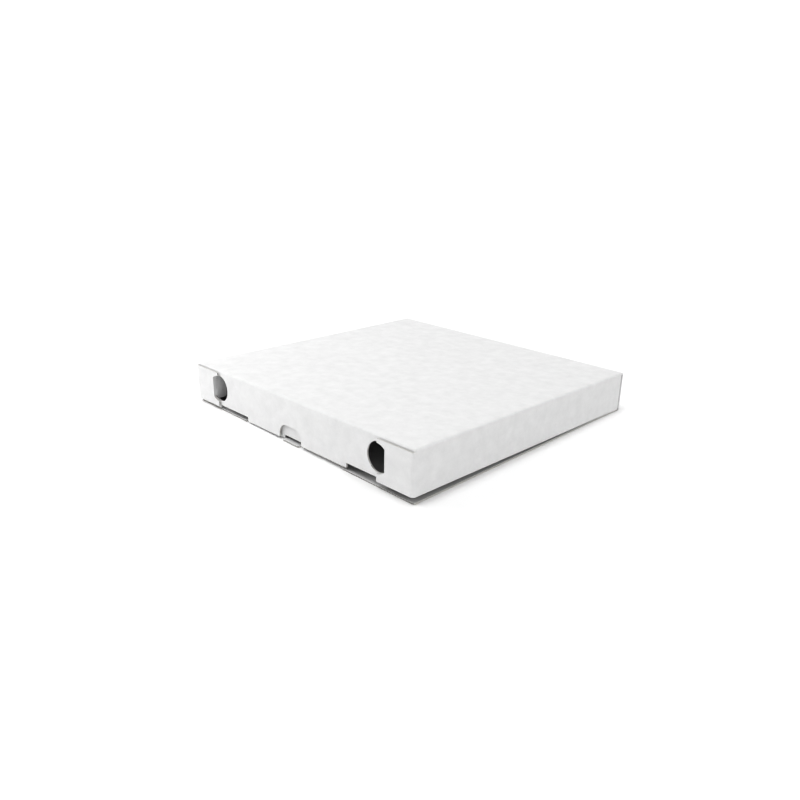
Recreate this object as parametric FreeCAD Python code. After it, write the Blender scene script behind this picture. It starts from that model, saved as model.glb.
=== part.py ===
"""Pizza box of white micro-flute board, lying upside down on its lid as in the photograph.

Millimetres, +Z up, the front of the box towards -Y. The origin is on the table, under the
middle of the box. The lid is the flat sheet on the table with its flap tucked up inside the
front; the tray, with its walls, corner flaps and vents, is turned over on top of it. Both
come from one folded sheet, parted only at the crease at the rear. The tray is built level
first; then its near corner (+X, -Y), which isn't pushed home, is raised, so that its panel
twists and its walls stay straight.
"""
import FreeCAD
import Part
import os
from FreeCAD import Vector

# Sizes of the sheet and of the closed box
board = 1.5
fold_inner_radius = 0.7
box_width = 330.0
box_depth = 324.0
box_height = 43.5
corner_lift = 5.2

# Room between the layers
rest_gap = 0.3
flap_gap = 1.0
front_flap_clearance = 1.5
lid_inset = 0.5

# Tray: corner flaps, round vents with their locking tabs, foot slots, thumb notch, the side
# walls' ends that are tucked in behind the rear wall, and the height at which the front
# wall's foot stands at its right end
flap_length = 42.0
right_flap_foot_gap = 0.6
left_flap_foot_gap = 1.9
vent_radius = 14.0
vent_below_top = 19.9
tab_reach = 9.5
right_slot_length = 41.0
left_slot_length = 51.0
slot_height = 3.1
notch_width = 34.0
notch_height = 13.0
notch_round = 11.0
tucked_flap_length = 42.0
tucked_flap_gap = 0.3
front_foot_right = 2.6

# Lid: the flap tucked in at the front, the flat corners beside it, and the thumb tongue
front_flap_width = 150.0
front_flap_top = 24.0
front_flap_round = 10.0
relief = 1.0
lid_corner_inset = 2.7
lid_corner_round = 2.5
tongue_width = 26.0
tongue_inset = 2.0
tongue_slit_height = 5.0
tongue_round = 2.5

# Places that follow from the sizes
half_width = box_width / 2
front = -box_depth / 2
rear = box_depth / 2
fold_radius = fold_inner_radius + board
foot = board + rest_gap
fold_top = box_height - fold_radius
tray_front = front + board + flap_gap
left_fold = -half_width + fold_radius
right_fold = half_width - fold_radius
front_fold = tray_front + fold_radius
rear_line = rear - 2 * board - tucked_flap_gap - fold_inner_radius
vent_x = half_width - flap_length
vent_height = box_height - vent_below_top
right_slot_end = vent_x - right_slot_length
left_slot_end = left_slot_length - vent_x
lid_half_width = half_width - lid_inset
lid_rear = rear - lid_inset
front_flap_face = tray_front + board + front_flap_clearance
lid_fold = front_flap_face + fold_radius

# Helpers' values: how far a cutting block runs past what it cuts, the length of wall that is
# made anew at the rear corners, and a length taken as none
beyond = 10.0
wall_end = 20.0
tiny = 1e-6


def block(low, high):
    """A box between two corners."""
    size = [b - a for a, b in zip(low, high)]
    return Part.makeBox(size[0], size[1], size[2], Vector(*low))


def rounded_block(low, high, radius, edges):
    """A box with some edges rounded; each is named by its two sides, as (axis, at the high end)."""
    solid = block(low, high)
    chosen = []
    for edge in solid.Edges:
        middle = edge.CenterOfMass
        for sides in edges:
            if all(abs(middle[axis] - (high if up else low)[axis]) < tiny for axis, up in sides):
                chosen.append(edge)
    return solid.makeFillet(radius, chosen)


def mirrored(solid):
    """The same solid on the other side of the box."""
    return solid.mirror(Vector(0, 0, 0), Vector(1, 0, 0))


def front_rise(x):
    """How much the tray's front is raised at a place along it."""
    return corner_lift * (x - left_fold) / (right_fold - left_fold)


def upright_disc(radius, x, z, y_low, y_high):
    """A round bar along Y, for the vents."""
    return Part.makeCylinder(radius, y_high - y_low, Vector(x, y_low, z), Vector(0, 1, 0))


def level_shell():
    """The tray's panel and four walls, all level, with rounded folds round the panel."""
    top_folds = [((0, False), (2, True)), ((0, True), (2, True)),
                 ((1, False), (2, True)), ((1, True), (2, True))]
    outer = rounded_block((-half_width, tray_front, foot), (half_width, rear, box_height),
                          fold_radius, top_folds)
    inner = rounded_block((-half_width + board, tray_front + board, foot - beyond),
                          (half_width - board, rear - board, box_height - board),
                          fold_inner_radius, top_folds)
    return outer.cut(inner)


def side_wall_end():
    """The last stretch of the right side wall, up to the rear wall, which the next piece takes."""
    return block((half_width - board, rear - wall_end, foot - beyond),
                 (half_width + beyond, rear - board, fold_top))


def tucked_flap():
    """The end of the right side wall, folded in behind the rear wall."""
    corner = [((0, True), (1, True))]
    outer = rounded_block((half_width - board - tucked_flap_length, rear - wall_end, foot),
                          (half_width, rear - board - tucked_flap_gap, fold_top),
                          fold_radius, corner)
    inner = rounded_block((0, 0, foot - beyond),
                          (half_width - board, rear - 2 * board - tucked_flap_gap,
                           box_height + beyond),
                          fold_inner_radius, corner)
    return outer.cut(inner)


def front_foot():
    """The lowest strip of the front wall between the slots, which isn't raised with the rest."""
    inside_wall = foot + board
    low_left = foot - front_rise(left_slot_end)
    low_right = front_foot_right - front_rise(right_slot_end)
    outline = Part.makePolygon([
        Vector(left_slot_end, tray_front, low_left), Vector(right_slot_end, tray_front, low_right),
        Vector(right_slot_end, tray_front, inside_wall),
        Vector(left_slot_end, tray_front, inside_wall),
        Vector(left_slot_end, tray_front, low_left)])
    return Part.Face(outline).extrude(Vector(0, board, 0))


def corner_flap(foot_gap):
    """The side wall's end, folded round the right front corner on to the front wall."""
    flap_foot = foot + foot_gap
    vent = upright_disc(vent_radius, vent_x, vent_height, front - beyond, front + board + beyond)
    beyond_tab = block((vent_x + tab_reach, front - beyond, foot), (half_width, rear, box_height))
    flap = block((vent_x, front, flap_foot), (half_width, front + board, fold_top))
    side = block((half_width - board, front, flap_foot), (half_width, tray_front, fold_top))
    return flap.cut(vent.cut(beyond_tab)).fuse(side)


def locking_tab():
    """The flap's disc, folded on its chord and pushed in through the vent."""
    tab_x = vent_x + tab_reach
    disc = Part.makeCylinder(vent_radius, board, Vector(tab_x, front + tab_reach, vent_height),
                             Vector(1, 0, 0))
    return disc.common(block((tab_x, front, foot), (half_width, rear, box_height)))


def front_cuts(slot_length):
    """The full round vent in the right half of the front wall and the slot at its foot."""
    vent = upright_disc(vent_radius, vent_x, vent_height, front + board, tray_front + 2 * board)
    slot = block((vent_x - slot_length, front + board, foot - beyond),
                 (vent_x, tray_front + 2 * board, foot + slot_height))
    return vent.fuse(slot)


def thumb_notch():
    """The arched notch in the middle of the front wall's lower edge."""
    return rounded_block((-notch_width / 2, tray_front - beyond, foot - notch_round),
                         (notch_width / 2, tray_front + beyond, foot + notch_height),
                         notch_round, [((0, False), (2, True)), ((0, True), (2, True))])


def raised(level, tabs):
    """The level tray with its near corner raised: each strip between fold lines is sheared."""
    run_x = right_fold - left_fold
    run_y = rear_line - front_fold

    along_x = FreeCAD.Matrix()
    along_x.A31 = corner_lift / run_x
    along_x.A34 = -left_fold * corner_lift / run_x
    along_y = FreeCAD.Matrix()
    along_y.A32 = -corner_lift / run_y
    along_y.A34 = rear_line * corner_lift / run_y
    straight_up = FreeCAD.Matrix()
    straight_up.A34 = corner_lift

    low, high = foot - beyond, box_height + beyond
    left = block((-half_width - beyond, front - beyond, low), (left_fold, rear + beyond, high))
    back = block((left_fold, rear_line, low), (half_width + beyond, rear + beyond, high))
    apron = block((left_fold, front - beyond, low), (right_fold, front_fold, high))
    near = block((right_fold, front - beyond, low), (half_width + beyond, front_fold, high))
    right = block((right_fold, front_fold, low), (half_width + beyond, rear_line, high))
    pieces = [level.common(left),
              level.common(back),
              level.common(apron).fuse(tabs).transformGeometry(along_x),
              level.common(near).transformGeometry(straight_up),
              level.common(right).transformGeometry(along_y)]

    underside = box_height - board
    sections = []
    for x, lift in ((left_fold, 0), (right_fold, corner_lift)):
        sections.append(Part.makePolygon([
            Vector(x, front_fold, underside + lift), Vector(x, rear_line, underside),
            Vector(x, rear_line, box_height), Vector(x, front_fold, box_height + lift),
            Vector(x, front_fold, underside + lift)]))
    pieces.append(Part.makeLoft(sections, True, True))
    return pieces[0].multiFuse(pieces[1:])


def make_tray():
    """The tray, turned over: panel, walls, corner flaps with their tabs, vents, slots, notch."""
    wall_cut = side_wall_end()
    wall_flap = tucked_flap()
    cuts = [front_cuts(right_slot_length), mirrored(front_cuts(left_slot_length)),
            wall_cut, mirrored(wall_cut), thumb_notch()]
    rounding = rounded_block((-half_width, front, foot - beyond),
                             (half_width, rear, box_height + beyond),
                             fold_radius, [((0, False), (1, False)), ((0, True), (1, False))])
    level = level_shell().fuse(front_foot()).cut(cuts)
    level = level.multiFuse([corner_flap(right_flap_foot_gap),
                             mirrored(corner_flap(left_flap_foot_gap)),
                             wall_flap, mirrored(wall_flap)])
    tab = locking_tab()
    return raised(level.common(rounding), tab.fuse(mirrored(tab)))


def front_flap():
    """The lid's front fold and the flap tucked up behind the tray's front wall."""
    half_flap = front_flap_width / 2
    bend = [((1, False), (2, False))]
    outer = rounded_block((-half_flap, front_flap_face, 0),
                          (half_flap, lid_fold + beyond, front_flap_top), fold_radius, bend)
    inner = rounded_block((-half_width, front_flap_face + board, board),
                          (half_width, rear, front_flap_top + beyond), fold_inner_radius, bend)
    outline = rounded_block((-half_flap, front, -beyond), (half_flap, rear, front_flap_top),
                            front_flap_round, [((0, False), (2, True)), ((0, True), (2, True))])
    slit = block((-tongue_width / 2, front, 0), (tongue_width / 2, lid_fold, tongue_slit_height))
    return outer.cut(inner).common(outline).cut(slit)


def lid_corner():
    """The flat right front corner of the lid, beside the flap and under the tray's slot."""
    return rounded_block((front_flap_width / 2 + relief, front + lid_corner_inset, 0),
                         (lid_half_width, lid_fold + beyond, board),
                         lid_corner_round, [((0, True), (1, False))])


def tongue():
    """The thumb tongue: the sheet carried on under the tray's notch, with rounded corners."""
    return rounded_block((-tongue_width / 2, front + tongue_inset, 0),
                         (tongue_width / 2, lid_fold, board),
                         tongue_round, [((0, False), (1, False)), ((0, True), (1, False))])


def make_lid():
    """The lid: the flat sheet on the table, its tucked front flap and the tongue."""
    sheet = block((-lid_half_width, lid_fold, 0), (lid_half_width, lid_rear, board))
    corner = lid_corner()
    return sheet.multiFuse([corner, mirrored(corner), front_flap(), tongue()]).removeSplitter()


def main():
    """Write each node's solid and print its size."""
    os.makedirs("parts", exist_ok=True)
    for name, shape in (("lid", make_lid()), ("tray", make_tray())):
        solid = shape.Solids[0]
        solid.exportStep("parts/" + name + ".step")
        print(name, "solids", len(shape.Solids), "valid", solid.isValid(),
              "volume", round(solid.Volume), "faces", len(solid.Faces), solid.BoundBox)


main()
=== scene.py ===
"""Looks of a closed pizza box of white micro-flute board, lying upside down on its lid.

Metres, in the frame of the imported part: +Z up, the front of the box towards -Y. The tray and
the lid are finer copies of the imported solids: their cut edges are opened into two liners with
the fluted sheet between them, and a bent strip of liner closes the crease at the rear.
"""
import math
import bmesh
import bpy
from mathutils import Matrix, Vector, noise


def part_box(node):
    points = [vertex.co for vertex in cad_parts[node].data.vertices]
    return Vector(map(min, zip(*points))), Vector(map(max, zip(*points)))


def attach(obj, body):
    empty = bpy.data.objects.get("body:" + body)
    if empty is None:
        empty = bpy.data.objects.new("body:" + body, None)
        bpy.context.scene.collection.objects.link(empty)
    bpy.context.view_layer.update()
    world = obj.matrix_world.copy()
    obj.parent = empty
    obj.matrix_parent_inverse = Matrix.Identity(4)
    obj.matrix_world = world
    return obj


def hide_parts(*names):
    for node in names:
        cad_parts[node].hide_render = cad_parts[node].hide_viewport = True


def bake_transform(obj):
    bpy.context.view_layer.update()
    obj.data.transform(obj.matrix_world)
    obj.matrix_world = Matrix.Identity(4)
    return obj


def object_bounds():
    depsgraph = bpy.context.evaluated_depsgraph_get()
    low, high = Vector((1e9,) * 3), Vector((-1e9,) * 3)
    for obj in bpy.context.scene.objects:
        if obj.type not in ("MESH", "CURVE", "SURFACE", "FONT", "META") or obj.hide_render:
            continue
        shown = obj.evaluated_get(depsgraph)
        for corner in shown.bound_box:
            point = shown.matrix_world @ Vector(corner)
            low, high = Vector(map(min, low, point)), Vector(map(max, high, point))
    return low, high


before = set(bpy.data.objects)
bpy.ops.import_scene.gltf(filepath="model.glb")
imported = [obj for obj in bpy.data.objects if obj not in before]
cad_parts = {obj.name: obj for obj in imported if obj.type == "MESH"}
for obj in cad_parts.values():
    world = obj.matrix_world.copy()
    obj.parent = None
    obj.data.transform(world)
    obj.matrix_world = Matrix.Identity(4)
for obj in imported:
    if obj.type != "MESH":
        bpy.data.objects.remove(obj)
cad_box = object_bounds()

MM = 0.001

# Sizes of the board and of the box, as in the part
board = 1.5 * MM
fold_radius = 2.2 * MM
corner_lift = 5.2 * MM
flap_gap = 1.0 * MM
front_flap_clearance = 1.5 * MM
flap_length = 42.0 * MM
right_flap_foot_gap = 0.6 * MM
left_flap_foot_gap = 1.9 * MM
vent_radius = 14.0 * MM
vent_below_top = 19.9 * MM
right_slot_length = 41.0 * MM
left_slot_length = 51.0 * MM
slot_height = 3.1 * MM
front_foot_right = 2.6 * MM
notch_width = 34.0 * MM
tucked_flap_length = 42.0 * MM
tucked_flap_gap = 0.3 * MM
front_flap_width = 150.0 * MM
front_flap_round = 10.0 * MM
relief = 1.0 * MM
lid_corner_inset = 2.7 * MM
lid_corner_round = 2.5 * MM
tongue_width = 26.0 * MM
tongue_inset = 2.0 * MM
tongue_round = 2.5 * MM

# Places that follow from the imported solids
tray_low, tray_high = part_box("tray")
lid_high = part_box("lid")[1]
half_width = tray_high.x
front = tray_low.y
rear = tray_high.y
foot = tray_low.z
box_height = tray_high.z - corner_lift
tray_front = front + board + flap_gap
front_flap_face = tray_front + board + front_flap_clearance
front_flap_top = lid_high.z
rear_line = rear - 2 * board - tucked_flap_gap - (fold_radius - board)
vent_x = half_width - flap_length
vent_height = box_height - vent_below_top
right_slot_end = vent_x - right_slot_length
left_slot_end = left_slot_length - vent_x

# The make-up of the board
liner = 0.22 * MM
flute_sheet = 0.16 * MM
flute_pitch = 3.2 * MM
flute_depth = 0.8 * MM
flute_recess = 0.12 * MM
channel_taper = 0.02 * MM
steps_per_flute = 8

# The crease of the lid
crease_half_length = half_width
crease_thickness = 0.4 * MM
crease_steps = 12

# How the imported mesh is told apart: bends in degrees, shares of a size, and a count of faces
sharp_bend = 32
skin_bend = 40
flat_bend = 0.5
rim_tolerance = 0.15
least_skin_faces = 100
crossing_share = 0.7
tiny = 1e-6

# The order of the materials on a sheet of board
outside_slot, edge_slot, flute_slot, inside_slot, painted_shade_slot = range(5)

# Slight unevenness: of the panel above its height, and of the walls past their distances
uneven_depth = 0.25 * MM
uneven_size = 90 * MM
panel_from = 40 * MM
panel_blend = 2 * MM
wall_foot = 6 * MM
wall_foot_blend = 12 * MM
side_wall_from = 150 * MM
front_wall_from = 140 * MM
wall_blend = 10 * MM
grid_step = 12 * MM
grid_share = 0.97

# The paper: its patterns' repeats in a metre, its gloss and the heights of its bumps
cloud_scale = 85
speck_scale = 900
fibre_scale = 350
grain_scale = 1600
cloud_share = 0.75
grain_dark = 0.84
paper_gloss = 0.25
ridge_height = 0.012
fibre_height = 0.05
paper_bump = 0.4 * MM
cut_bump = 0.1 * MM

# The room's brightness in front, to the right and behind, and the lamps' strengths
room_front = 0.235
room_right = 0.80
room_behind = 0.85
sun_strength = 0.86
sun_spread = 25
lamp_power = 1.75
lamp_size = 0.5
floor_white = 0.97
floor_half_size = 12
floor_gap = 0.05 * MM


def corner_rise(x, y):
    """How much the tray is raised at a place, towards its near corner."""
    left_fold = -half_width + fold_radius
    right_fold = half_width - fold_radius
    front_fold = tray_front + fold_radius
    share_x = share_past(x, left_fold, right_fold - left_fold)
    share_y = share_past(-y, -rear_line, rear_line - front_fold)
    return corner_lift * share_x * share_y


def share_past(value, start, length):
    """0 up to the start, 1 past the length behind it, and evenly more between."""
    return min(max((value - start) / length, 0), 1)


def finished(bm, name, materials):
    """A mesh object made of a bmesh, with its materials in order."""
    mesh = bpy.data.meshes.new(name)
    bm.to_mesh(mesh)
    bm.free()
    piece = bpy.data.objects.new(name, mesh)
    bpy.context.scene.collection.objects.link(piece)
    for material in materials:
        mesh.materials.append(material)
    mesh.shade_smooth()
    mesh.set_sharp_from_angle(angle=math.radians(sharp_bend))
    return piece


def smooth_groups(bm, bend):
    """Lists of faces that meet at less than that bend, across each skin of the board."""
    groups = []
    seen = set()
    for first in bm.faces:
        if first in seen:
            continue
        seen.add(first)
        stack = [first]
        group = []
        while stack:
            face = stack.pop()
            group.append(face)
            for edge in face.edges:
                if len(edge.link_faces) != 2 or edge.calc_face_angle() > bend:
                    continue
                for other in edge.link_faces:
                    if other not in seen:
                        seen.add(other)
                        stack.append(other)
        groups.append(group)
    return groups


def strip_width(group):
    """The shorter side of a strip with the group's area and outline."""
    inside = set(group)
    half_outline = sum(edge.calc_length() for face in group for edge in face.edges
                       if any(other not in inside for other in edge.link_faces)) / 2
    area = sum(face.calc_area() for face in group)
    return (half_outline - math.sqrt(max(half_outline ** 2 - 4 * area, 0))) / 2


def flute_run(node, place):
    """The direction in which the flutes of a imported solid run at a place."""
    if node == "lid":
        return Vector((0, 0, 1)) if place.z > board else Vector((0, 1, 0))
    behind_rear = rear - 2 * board - tucked_flap_gap < place.y < rear - board
    if place.y < front + board or behind_rear:
        return Vector((1, 0, 0))
    if abs(place.x) > half_width - board:
        return Vector((0, 1, 0))
    return Vector((0, 0, 1))


def faces_inwards(group):
    """Whether a skin looks towards the middle of the box."""
    middle = (cad_box[0] + cad_box[1]) / 2
    outward = sum(face.calc_area() * face.normal.dot(face.calc_center_median() - middle)
                  for face in group)
    return outward < 0


def slot_of(group):
    """The place in the sheet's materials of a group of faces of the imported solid."""
    if abs(strip_width(group) - board) < rim_tolerance * board:
        return edge_slot
    if len(group) > least_skin_faces and faces_inwards(group):
        return inside_slot
    return outside_slot


def cut_across(bm, axis, place):
    """Cuts every face of the mesh in the plane at that place along an axis."""
    point = Vector((0, 0, 0))
    point[axis] = place
    normal = Vector((axis == 0, axis == 1, axis == 2))
    bmesh.ops.bisect_plane(bm, geom=bm.verts[:] + bm.edges[:] + bm.faces[:],
                           plane_co=point, plane_no=normal, dist=tiny)


def cut_on_grid(bm):
    """Cuts the panels every grid step, so that they can be slightly uneven."""
    for axis, reach in ((0, grid_share * half_width), (1, grid_share * rear)):
        steps = round(2 * reach / grid_step)
        for index in range(steps + 1):
            cut_across(bm, axis, reach * (2 * index / steps - 1))


def pull_back_at_crease(bm, node):
    """Ends the sheet where the crease begins, because a bent strip of its own closes it."""
    for vert in bm.verts:
        if node == "lid" and vert.co.y > rear - board:
            vert.co.y = rear - fold_radius
        if node == "tray" and vert.co.z < fold_radius and vert.co.y > rear - board - tiny:
            vert.co.z = fold_radius


def wave(across, along, layer):
    """A smooth random share from 0 to 1 at a place of a wall or panel, one layer for each."""
    return 0.5 + 0.5 * noise.noise(Vector((across, along, layer)) / uneven_size)


def uneven(place):
    """Where a point of the board lies when the panels are slightly uneven: a little inwards."""
    off_foot = share_past(place.z, wall_foot, wall_foot_blend)
    dip = wave(place.x, place.y, 0.05) * share_past(place.z, panel_from, panel_blend)
    lean = wave(place.y, place.z, 0.31) * share_past(abs(place.x), side_wall_from, wall_blend)
    bow = wave(place.x, place.z, 0.77) * share_past(-place.y, front_wall_from, wall_blend)
    side = -1 if place.x > 0 else 1
    return place + uneven_depth * Vector((side * lean * off_foot, bow * off_foot, -dip))


def board_sheet(node, name, materials):
    """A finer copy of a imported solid: clean skins, and cut edges opened between two liners."""
    bm = bmesh.new()
    bm.from_mesh(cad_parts[node].data)
    bmesh.ops.remove_doubles(bm, verts=bm.verts, dist=2 * tiny)
    if node == "tray":
        for vert in bm.verts:
            vert.co.z -= corner_rise(vert.co.x, vert.co.y)
    for group in smooth_groups(bm, math.radians(skin_bend)):
        slot = slot_of(group)
        for face in group:
            face.material_index = slot
    bmesh.ops.dissolve_limit(bm, angle_limit=math.radians(flat_bend), verts=bm.verts,
                             edges=bm.edges, delimit={"MATERIAL"})
    pull_back_at_crease(bm, node)
    rims = [face for face in bm.faces if face.material_index == edge_slot]
    bmesh.ops.inset_region(bm, faces=rims, thickness=liner, depth=0)
    bmesh.ops.inset_region(bm, faces=rims, thickness=channel_taper, depth=-flute_depth)
    # Where a cut edge crosses the flutes, the channel's floor gets a near-black colour: painted
    # shade for the deep space between the flutes. Elsewhere it shows the fluted sheet.
    for face in rims:
        across = abs(face.normal.dot(flute_run(node, face.calc_center_median())))
        face.material_index = painted_shade_slot if across > crossing_share else flute_slot
    for vert in bm.verts:
        if vert.co.z < 0:
            vert.co.z = liner
    cut_on_grid(bm)
    if node == "tray":
        for vert in bm.verts:
            vert.co.z += corner_rise(vert.co.x, vert.co.y)
    for vert in bm.verts:
        vert.co = uneven(vert.co)
    return finished(bm, name, materials)


def crease_strip(materials):
    """The outer liner bent over the crease, from under the lid to the tray's rear wall."""
    bm = bmesh.new()
    corner = Vector((-crease_half_length, rear - fold_radius, fold_radius))
    verts = [bm.verts.new(corner + Vector((0, 0, -radius)))
             for radius in (fold_radius, fold_radius - crease_thickness)]
    edge = bm.edges.new(verts)
    bmesh.ops.spin(bm, geom=[edge] + verts, cent=corner, axis=(1, 0, 0), angle=math.radians(90),
                   steps=crease_steps)
    made = bmesh.ops.extrude_face_region(bm, geom=bm.faces[:])
    moved = [item for item in made["geom"] if isinstance(item, bmesh.types.BMVert)]
    bmesh.ops.translate(bm, verts=moved, vec=(2 * crease_half_length, 0, 0))
    pieces = round(2 * crease_half_length / grid_step)
    for index in range(1, pieces):
        cut_across(bm, 0, crease_half_length * (2 * index / pieces - 1))
    bmesh.ops.recalc_face_normals(bm, faces=bm.faces)
    strip = finished(bm, "crease_strip", materials)
    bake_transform(strip)


def flute_ribbon(bm, start, end, inward):
    """The wavy sheet between the liners, seen at a cut edge that crosses the flutes."""
    along = (end - start).normalized()
    across = along.cross(inward).normalized()
    length = (end - start).length
    steps = max(2, round(length / flute_pitch * steps_per_flute))
    height = board / 2 - liner - flute_sheet / 2
    made = bmesh.ops.create_grid(bm, x_segments=steps, y_segments=1, size=0.5)
    for vert in made["verts"]:
        run = (vert.co.x + 0.5) * length
        depth = flute_recess + (vert.co.y + 0.5) * (flute_depth - flute_recess)
        swing = height * math.sin(2 * math.pi * run / flute_pitch)
        vert.co = uneven(start + along * run + inward * depth + across * swing)
    faces = list({face for vert in made["verts"] for face in vert.link_faces})
    bmesh.ops.solidify(bm, geom=faces, thickness=flute_sheet)


def flutes(name, edges, material, body):
    """All the ribbons of one body, from (start, end, inward) triples."""
    bm = bmesh.new()
    for start, end, inward in edges:
        flute_ribbon(bm, Vector(start), Vector(end), Vector(inward))
    bmesh.ops.recalc_face_normals(bm, faces=bm.faces)
    piece = finished(bm, name, [material])
    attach(piece, body)


def tray_flute_edges():
    """Cut edges of the tray that cross its flutes: walls' feet, flaps' ends, rear corners."""
    wall_y = tray_front + board / 2
    flap_y = front + board / 2
    foot_slope = (front_foot_right - foot) / (right_slot_end - left_slot_end)
    up = (0, 0, 1)
    edges = []
    for low, high, lift in ((-half_width + board, -vent_x, 0),
                            (-vent_x, left_slot_end, slot_height),
                            (right_slot_end, vent_x, slot_height),
                            (vent_x, half_width - board, 0)):
        edges.append(((low, wall_y, foot + lift + corner_rise(low, front)),
                      (high, wall_y, foot + lift + corner_rise(high, front)), up))
    for low, high in ((left_slot_end, -notch_width / 2), (notch_width / 2, right_slot_end)):
        edges.append(((low, wall_y, foot + foot_slope * (low - left_slot_end)),
                      (high, wall_y, foot + foot_slope * (high - left_slot_end)), up))
    for side, foot_gap in ((-1, left_flap_foot_gap), (1, right_flap_foot_gap)):
        rise = corner_rise(side * vent_x, front)
        for low, high in ((foot + foot_gap, vent_height - vent_radius),
                          (vent_height + vent_radius, box_height - fold_radius)):
            edges.append(((side * vent_x, flap_y, low + rise),
                          (side * vent_x, flap_y, high + rise), (side, 0, 0)))
        tucked_x = side * (half_width - board - tucked_flap_length)
        tucked_y = rear - board - tucked_flap_gap - board / 2
        edges.append(((tucked_x, tucked_y, foot), (tucked_x, tucked_y, box_height - fold_radius),
                      (side, 0, 0)))
    return edges


def lid_flute_edges():
    """Cut edges of the lid that cross its flutes: front corners, the flap's top and the tongue."""
    sheet_z = board / 2
    flap_y = front_flap_face + board / 2
    corner_y = front + lid_corner_inset
    tongue_y = front + tongue_inset
    back = (0, 1, 0)
    down = (0, 0, -1)
    half_flap = front_flap_width / 2
    top_end = half_flap - front_flap_round
    tongue_x = tongue_width / 2 - tongue_round
    edges = [((-tongue_x, tongue_y, sheet_z), (tongue_x, tongue_y, sheet_z), back),
             ((-top_end, flap_y, front_flap_top), (top_end, flap_y, front_flap_top), down)]
    for side in (-1, 1):
        edges.append(((side * (half_flap + relief), corner_y, sheet_z),
                      (side * (lid_high.x - lid_corner_round), corner_y, sheet_z), back))
    return edges


def principled(name, roughness):
    """A new material with its nodes, links and shader."""
    material = bpy.data.materials.new(name)
    material.use_nodes = True
    nodes, links = material.node_tree.nodes, material.node_tree.links
    shader = nodes["Principled BSDF"]
    shader.inputs["Roughness"].default_value = roughness
    shader.inputs["Specular IOR Level"].default_value = paper_gloss
    return material, nodes, links, shader


def add(nodes, kind, settings=None, **inputs):
    """A node with its settings and its inputs' values, named with underscores for spaces."""
    node = nodes.new(kind)
    for key, value in (settings or {}).items():
        setattr(node, key, value)
    for key, value in inputs.items():
        node.inputs[key.replace("_", " ")].default_value = value
    return node


def maths(nodes, links, operation, first, second=None):
    """The result of a math node on one or two values or sockets."""
    node = add(nodes, "ShaderNodeMath", {"operation": operation})
    for socket, value in zip(node.inputs, (first, second)):
        if value is None:
            continue
        if isinstance(value, (int, float)):
            socket.default_value = value
        else:
            links.new(value, socket)
    return node.outputs[0]


def two_tones(nodes, links, amount, low, dark, high, light, shader):
    """Colours the shader from dark to light as the amount goes from low to high."""
    ramp = add(nodes, "ShaderNodeValToRGB")
    links.new(amount, ramp.inputs["Fac"])
    for stop, position, colour in zip(ramp.color_ramp.elements, (low, high), (dark, light)):
        stop.position = position
        stop.color = (*colour, 1)
    links.new(ramp.outputs["Color"], shader.inputs["Base Color"])


def add_bump(nodes, links, height, strength, distance, shader):
    """Bumps the shader's surface by a height."""
    bump = add(nodes, "ShaderNodeBump", Strength=strength, Distance=distance)
    links.new(height, bump.inputs["Height"])
    links.new(bump.outputs["Normal"], shader.inputs["Normal"])


def liner_paper(name, colour, cloud, roughness):
    """White liner paper: cloudy fibre formation, fine fibres and the flutes faintly showing."""
    material, nodes, links, shader = principled(name, roughness)
    place = add(nodes, "ShaderNodeTexCoord")
    clouds = add(nodes, "ShaderNodeTexNoise", Scale=cloud_scale, Detail=4, Roughness=0.6)
    specks = add(nodes, "ShaderNodeTexNoise", Scale=speck_scale, Detail=3, Roughness=0.7)
    fibres = add(nodes, "ShaderNodeTexNoise", Scale=fibre_scale, Detail=5, Roughness=0.65,
                 Distortion=1.5)
    for texture in (clouds, specks, fibres):
        links.new(place.outputs["Object"], texture.inputs["Vector"])
    mix = maths(nodes, links, "ADD",
                maths(nodes, links, "MULTIPLY", clouds.outputs["Fac"], cloud_share),
                maths(nodes, links, "MULTIPLY", specks.outputs["Fac"], 1 - cloud_share))
    dark = [value * (1 - cloud) for value in colour]
    two_tones(nodes, links, mix, 0.3, dark, 0.7, colour, shader)

    axes = add(nodes, "ShaderNodeSeparateXYZ")
    links.new(place.outputs["Object"], axes.inputs[0])
    on_side = maths(nodes, links, "GREATER_THAN",
                    maths(nodes, links, "ABSOLUTE", axes.outputs["X"]), half_width - 2 * board)
    run = add(nodes, "ShaderNodeMix", {"data_type": "FLOAT"})
    links.new(on_side, run.inputs["Factor"])
    links.new(axes.outputs["X"], run.inputs["A"])
    links.new(axes.outputs["Z"], run.inputs["B"])
    ridges = maths(nodes, links, "SINE", maths(nodes, links, "MULTIPLY", run.outputs["Result"],
                                               2 * math.pi / flute_pitch))
    height = maths(nodes, links, "ADD",
                   maths(nodes, links, "MULTIPLY", ridges, ridge_height),
                   maths(nodes, links, "MULTIPLY", fibres.outputs["Fac"], fibre_height))
    add_bump(nodes, links, height, 0.6, paper_bump, shader)
    return material


def cut_paper(name, colour):
    """A cut edge or the fluted sheet: bare fibres, a little rougher and greyer than the liner; also
    the near-black painted shade deep between the flutes.
    """
    material, nodes, links, shader = principled(name, 0.9)
    place = add(nodes, "ShaderNodeTexCoord")
    grain = add(nodes, "ShaderNodeTexNoise", Scale=grain_scale, Detail=4, Roughness=0.7)
    links.new(place.outputs["Object"], grain.inputs["Vector"])
    dark = [value * grain_dark for value in colour]
    two_tones(nodes, links, grain.outputs["Fac"], 0.25, dark, 0.75, colour, shader)
    add_bump(nodes, links, grain.outputs["Fac"], 0.7, cut_bump, shader)
    return material


def make_floor():
    """The plain pale floor, just below the box."""
    bm = bmesh.new()
    bmesh.ops.create_grid(bm, x_segments=1, y_segments=1, size=floor_half_size)
    material, nodes, links, shader = principled("pale_floor", 1.0)
    shader.inputs["Base Color"].default_value = (floor_white, floor_white, floor_white, 1)
    shader.inputs["Specular IOR Level"].default_value = 0
    bmesh.ops.translate(bm, verts=bm.verts, vec=(0, 0, -floor_gap))
    floor = finished(bm, "floor", [material])


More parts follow.
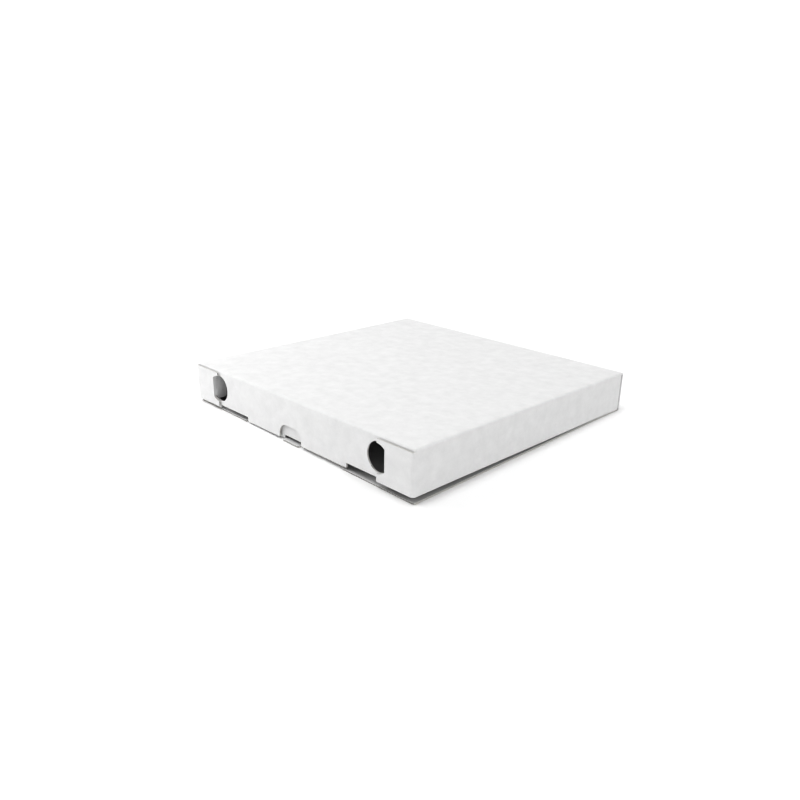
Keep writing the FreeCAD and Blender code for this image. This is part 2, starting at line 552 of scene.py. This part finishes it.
def white_room():
    """A plain room: dim in front and above, lighter to the right, white behind the box."""
    world = bpy.data.worlds.new("white_room")
    world.use_nodes = True
    nodes, links = world.node_tree.nodes, world.node_tree.links
    background = nodes["Background"]
    background.inputs["Color"].default_value = (1, 1, 1, 1)
    place = add(nodes, "ShaderNodeTexCoord")
    axes = add(nodes, "ShaderNodeSeparateXYZ")
    links.new(place.outputs["Generated"], axes.inputs[0])
    sides = add(nodes, "ShaderNodeMapRange", From_Min=0.0, From_Max=1.0,
                To_Min=room_front, To_Max=room_right)
    links.new(axes.outputs["X"], sides.inputs["Value"])
    behind = add(nodes, "ShaderNodeMapRange", From_Min=0.3, From_Max=0.9,
                 To_Min=0.0, To_Max=room_behind)
    links.new(maths(nodes, links, "SUBTRACT", axes.outputs["Y"], axes.outputs["X"]),
              behind.inputs["Value"])
    links.new(maths(nodes, links, "MAXIMUM", sides.outputs["Result"], behind.outputs["Result"]),
              background.inputs["Strength"])
    bpy.context.scene.world = world


def lamp(kind, name, place, energy):
    """A lamp that shines from a place to the middle of the box."""
    data = bpy.data.lights.new(name, kind)
    data.energy = energy
    light = bpy.data.objects.new(name, data)
    light.location = place
    light.rotation_euler = (-light.location).to_track_quat("-Z", "Y").to_euler()
    bpy.context.scene.collection.objects.link(light)
    return data


def make_light():
    """Plain soft studio light: the room, a wide lamp from the front top, a soft box at the left."""
    white_room()
    top_lamp = lamp("SUN", "wide_lamp", (-0.05, -0.30, 0.95), sun_strength)
    top_lamp.angle = math.radians(sun_spread)
    soft_box = lamp("AREA", "soft_box", (-0.6, -0.6, 0.45), lamp_power)
    soft_box.shape = "DISK"
    soft_box.size = lamp_size


def make_camera():
    """The camera of the photograph: a little above the box, looking at its near corner."""
    azimuth = math.radians(44.392)
    elevation = math.radians(20.447)
    distance = 772.1 * MM
    turn = Matrix.Rotation(math.radians(-0.704), 3, "Y")
    tilt = Matrix.Rotation(math.radians(-0.4), 3, "X")
    roll = Matrix.Rotation(math.radians(-1.373), 3, "Z")
    back = Vector((math.sin(azimuth) * math.cos(elevation),
                   -math.cos(azimuth) * math.cos(elevation), math.sin(elevation)))
    right = Vector((math.cos(azimuth), math.sin(azimuth), 0))
    level = Matrix((right, back.cross(right), back))
    lens = bpy.data.cameras.new("camera")
    lens.sensor_width = 36
    lens.lens = 31.466
    camera = bpy.data.objects.new("camera", lens)
    camera.matrix_world = (Matrix.Translation(back * distance)
                           @ (roll @ turn @ tilt @ level).transposed().to_4x4())
    bpy.context.scene.collection.objects.link(camera)
    bpy.context.scene.camera = camera


make_camera()
make_light()
make_floor()

outside = liner_paper("white_liner", (0.8, 0.8, 0.8), 0.1, 0.75)
inside = liner_paper("white_liner_inside", (0.76, 0.76, 0.76), 0.07, 0.85)
edge = cut_paper("cut_edge", (0.8, 0.79, 0.77))
flute = cut_paper("flute_paper", (0.66, 0.65, 0.62))
# Painted shade: a near-black paper that stands for the shade deep between the flutes, not a colour
# of the board.
depth = cut_paper("painted_shade_between_flutes", (0.05, 0.05, 0.048))

lid_sheet = board_sheet("lid", "lid_sheet", [outside, edge, flute, inside, depth])
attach(lid_sheet, "lid")
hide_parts("lid")
tray_sheet = board_sheet("tray", "tray_sheet", [outside, edge, flute, inside, depth])
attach(tray_sheet, "tray")
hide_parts("tray")
crease_strip([outside])
flutes("lid_flutes", lid_flute_edges(), flute, "lid")
flutes("tray_flutes", tray_flute_edges(), flute, "tray")

bpy.context.scene.view_settings.view_transform = "Standard"
bpy.context.scene.view_settings.look = "High Contrast"
